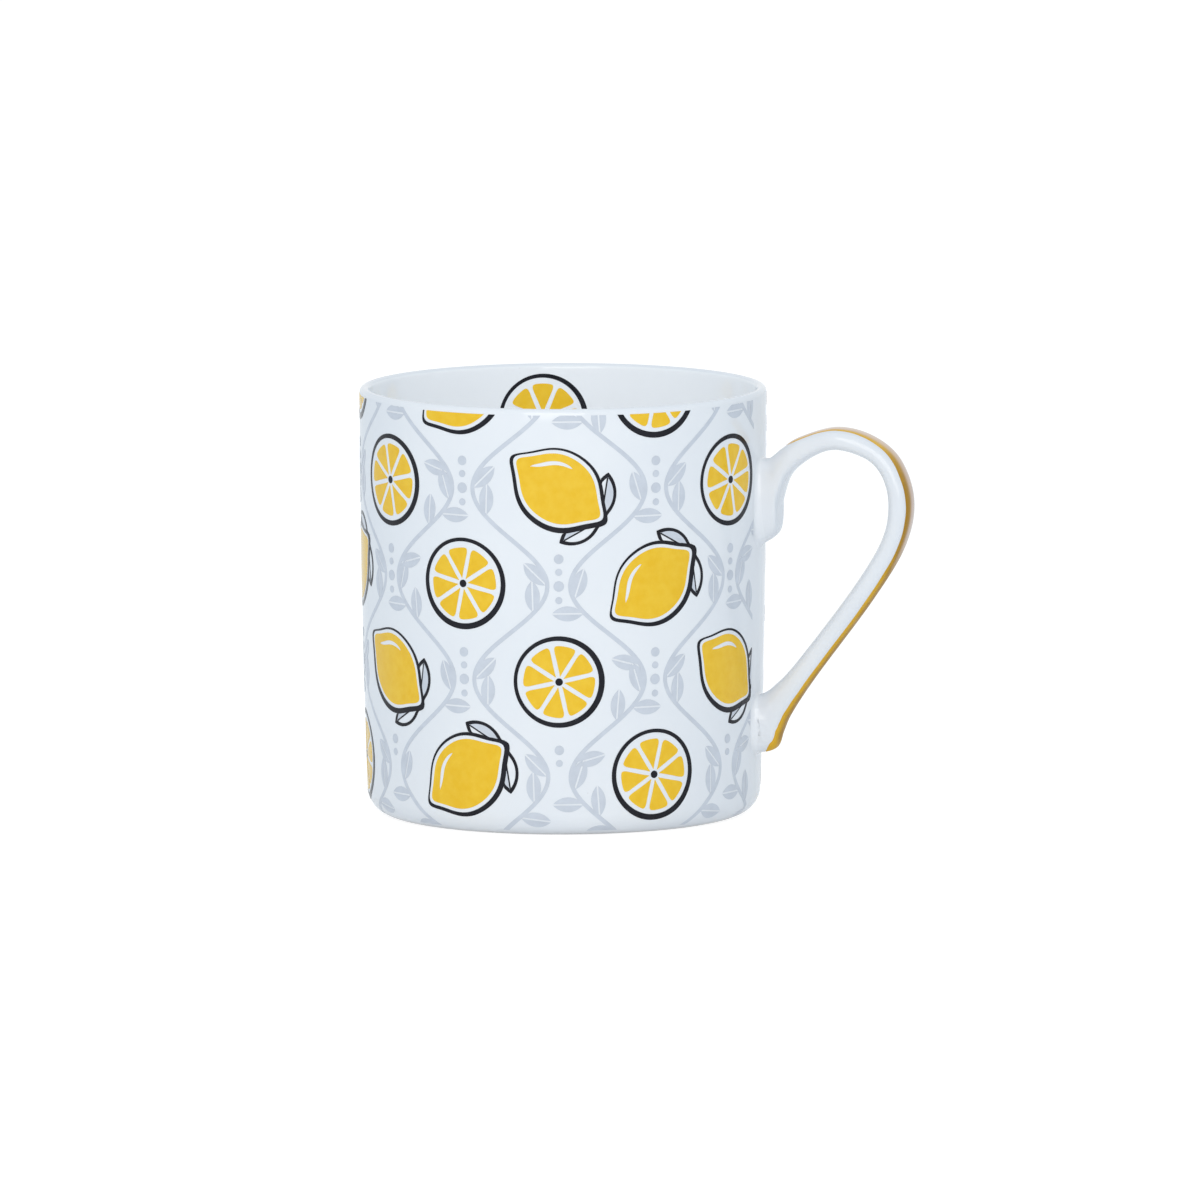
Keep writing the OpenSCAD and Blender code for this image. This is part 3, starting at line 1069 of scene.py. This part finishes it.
def enamelFinish(drift):
    look = enamelLook
    finish, tree, shader, group = startFinish("handleEnamel", drift, look)
    link = tree.links.new
    place = addNode(tree, "ShaderNodeTexCoord")
    split = addNode(tree, "ShaderNodeSeparateXYZ")
    link(place.outputs["Object"], split.inputs["Vector"])
    aside = addNode(tree, "ShaderNodeMath", operation="ABSOLUTE")
    link(split.outputs["Y"], aside.inputs[0])

    def smoothSpan(value, start, end):
        return rangeNode(tree, value, start, end, interpolation_type="SMOOTHSTEP")

    def spanInMm(span, value):
        start, end = look[span]
        return smoothSpan(value, start * mm, end * mm)

    bendShade = spanInMm("bendShade", split.outputs["X"])
    edge = spanInMm("edge", aside.outputs["Value"])
    arch, tail, glossy = (spanInMm(span, split.outputs["Z"]) for span in ("arch", "tail", "gloss"))
    link(arch.outputs["Result"], tail.inputs["To Max"])
    link(tail.outputs["Result"], edge.inputs["To Max"])
    # painted shade: the bend and the middle of the lower arm's back are darkened, on top of random brush
    # patches
    paintedShade = addNode(tree, "ShaderNodeMath", operation="ADD")
    link(bendShade.outputs["Result"], paintedShade.inputs[0])
    link(edge.outputs["Result"], paintedShade.inputs[1])
    patchesAndShade = addNode(tree, "ShaderNodeMath", operation="MULTIPLY_ADD", use_clamp=True)
    link(group.outputs["Drift"], patchesAndShade.inputs[0])
    patchesAndShade.inputs[1].default_value = look["patchy"]
    link(paintedShade.outputs["Value"], patchesAndShade.inputs[2])
    colour = mixColours(tree, patchesAndShade.outputs["Value"], look["thin"], look["thick"])

    # painted reflection: the base colour turns pale at a slant where the line is glossy
    gloss = glossy.outputs["Result"]
    slant = addNode(tree, "ShaderNodeLayerWeight", Blend=look["slantBlend"])
    film = smoothSpan(slant.outputs["Facing"], *look["slant"])
    link(setRange(tree, gloss, 0, look["paintedReflectionShare"]), film.inputs["To Max"])
    colour = mixColours(tree, film.outputs["Result"], colour, look["paintedReflection"])
    link(colour, shader.inputs["Base Color"])
    link(setRange(tree, gloss, *look["shine"]), shader.inputs["Specular IOR Level"])
    rough = addNode(tree, "ShaderNodeMapRange")
    link(gloss, rough.inputs["Value"])
    for limit, span in (("To Min", "dullRough"), ("To Max", "glossRough")):
        link(setRange(tree, group.outputs["Drift"], *look[span]), rough.inputs[limit])
    link(rough.outputs["Result"], shader.inputs["Roughness"])
    addBump(tree, shader, group.outputs["Wave"], *look["bump"])
    return finish


# stage, lights and camera

stageSet = {
    "floorSize": 8,
    "floorColour": (0.92, 0.93, 0.94),
    "floorRough": 0.9,
    "floorGlow": 0.75,  # share of the floor that shows as plain white
    "glowLevel": 1.2,
    "ambient": 0.78,
    "skyColour": (0.81, 0.91, 1),
    "skyGloss": 0.95,  # how much of the white surroundings the glaze mirrors
    "floorGloss": 0.5,
    "lamps": [  # name, azimuth, elevation, distance, size, level on a surface that faces it, colour
        ("keyLamp", 8, 15, 1.3, 0.8, 0.29, (1, 0.94, 0.87)),
        ("topLamp", 0, 84, 0.95, 0.7, 0.03, (1, 1, 1)),
    ],
    "lampShine": 0.4,
    "insideLevel": 0.15,  # a small lamp in the cup stands in for the light that thin china lets through
    "insideHeight": 50,
    "insideSize": 25,
}
mugMiddle = Vector((0, 0, mugHeight / 2 * mm))


def towards(azimuth, elevation):
    turn, rise = math.radians(azimuth), math.radians(elevation)
    return Vector((math.sin(turn) * math.cos(rise), -math.cos(turn) * math.cos(rise), math.sin(rise)))


def seenDirectly(tree, gloss):
    path = addNode(tree, "ShaderNodeLightPath")
    added = path.outputs["Is Camera Ray"]
    for ray, share in (("Is Glossy Ray", gloss), ("Is Transmission Ray", 1)):
        total = addNode(tree, "ShaderNodeMath", operation="MULTIPLY_ADD", use_clamp=True)
        tree.links.new(path.outputs[ray], total.inputs[0])
        total.inputs[1].default_value = share
        tree.links.new(added, total.inputs[2])
        added = total.outputs["Value"]
    return added


def makeFloor():
    clearSelection()
    bpy.ops.mesh.primitive_plane_add(size=stageSet["floorSize"], location=(0, 0, 0))
    floor = bpy.context.object
    floor.name = "studioFloor"
    paper = bpy.data.materials.new("studioPaper")
    paper.use_nodes = True
    tree = paper.node_tree
    shader = tree.nodes["Principled BSDF"]
    shader.inputs["Base Color"].default_value = (*stageSet["floorColour"], 1)
    shader.inputs["Roughness"].default_value = stageSet["floorRough"]
    glow = addNode(tree, "ShaderNodeEmission", Strength=stageSet["glowLevel"])
    share = addNode(tree, "ShaderNodeMath", operation="MULTIPLY")
    share.inputs[1].default_value = stageSet["floorGlow"]
    tree.links.new(seenDirectly(tree, stageSet["floorGloss"]), share.inputs[0])
    mix = addNode(tree, "ShaderNodeMixShader")
    tree.links.new(share.outputs["Value"], mix.inputs["Fac"])
    tree.links.new(shader.outputs["BSDF"], mix.inputs[1])
    tree.links.new(glow.outputs["Emission"], mix.inputs[2])
    tree.links.new(mix.outputs["Shader"], tree.nodes["Material Output"].inputs["Surface"])
    floor.data.materials.append(paper)


def makeSky():
    world = bpy.data.worlds.new("studioWorld")
    world.use_nodes = True
    bpy.context.scene.world = world
    sky = world.node_tree.nodes["Background"]
    direct = seenDirectly(world.node_tree, stageSet["skyGloss"])
    level = setRange(world.node_tree, direct, stageSet["ambient"], 1)
    world.node_tree.links.new(level, sky.inputs["Strength"])
    colour = mixColours(world.node_tree, direct, stageSet["skyColour"], (1, 1, 1))
    world.node_tree.links.new(colour, sky.inputs["Color"])


def makeLamps():
    for name, azimuth, elevation, distance, size, level, colour in stageSet["lamps"]:
        back = towards(azimuth, elevation)
        bpy.ops.object.light_add(type="AREA", location=mugMiddle + back * distance)
        lamp = bpy.context.object
        lamp.name = name
        lamp.data.size = size
        lamp.data.color = colour
        lamp.data.specular_factor = stageSet["lampShine"]
        lamp.data.energy = level * (math.pi * distance) ** 2
        lamp.rotation_euler = (-back).to_track_quat("-Z", "Y").to_euler()

    bpy.ops.object.light_add(type="POINT", location=(0, 0, stageSet["insideHeight"] * mm))
    lamp = bpy.context.object
    lamp.name = "insideLamp"
    lamp.data.shadow_soft_size = stageSet["insideSize"] * mm
    lamp.data.specular_factor = 0
    lamp.data.energy = stageSet["insideLevel"] * (2 * math.pi * boreRadius(mugHeight) * mm) ** 2


cameraFit = {
    "azimuth": 13,
    "elevation": 7.28,
    "roll": 0.17,
    "distance": 4,
    "frameWidth": 0.2382,  # metres across the picture at the mug's axis
    "pictureSize": 1200,
    "axisPixel": (563.5, 598.5),  # where the middle of the mug's axis lands
    "sensor": 36,
    "clipEnd": 20,
}


def makeCamera():
    fit = cameraFit
    back = towards(fit["azimuth"], fit["elevation"])
    bpy.ops.object.camera_add(location=mugMiddle + back * fit["distance"])
    camera = bpy.context.object
    camera.name = "photoCamera"
    camera.rotation_mode = "QUATERNION"
    roll = Quaternion((0, 0, 1), -math.radians(fit["roll"]))
    camera.rotation_quaternion = (-back).to_track_quat("-Z", "Y") @ roll
    camera.data.sensor_width = fit["sensor"]
    camera.data.lens = fit["sensor"] * fit["distance"] / fit["frameWidth"]
    camera.data.shift_x = 0.5 - fit["axisPixel"][0] / fit["pictureSize"]
    camera.data.shift_y = fit["axisPixel"][1] / fit["pictureSize"] - 0.5
    camera.data.clip_end = fit["clipEnd"]
    bpy.context.scene.camera = camera


makeCamera()
makeFloor()
makeSky()
makeLamps()
bpy.context.scene.view_settings.view_transform = "Standard"
print("stage, lamps and camera set")

drift = glazeDriftGroup()
glazes = {name: glazedFinish(name, drift) for name in glazeLook["tones"]}
bareClay = bareFinish(drift)
enamel = enamelFinish(drift)
inks = {name: inkFinish(name, drift) for name in inkLook["tones"]}
print("finishes ready")

makeBody(glazes["chinaGlaze"], glazes["insidePaintedLightGlaze"], bareClay)
makeHandle(glazes["handlePaintedShadeGlaze"])
makeSlip("upperSlipJoint", "upper_slip_joint", 0, glazes["slipGlaze"])
makeSlip("lowerSlipJoint", "lower_slip_joint", lastStation, glazes["slipGlaze"])
makeLine(enamel)
makePrint(inks["greyInk"], inks["yellowInk"], inks["blackInk"])
print("all pieces made")
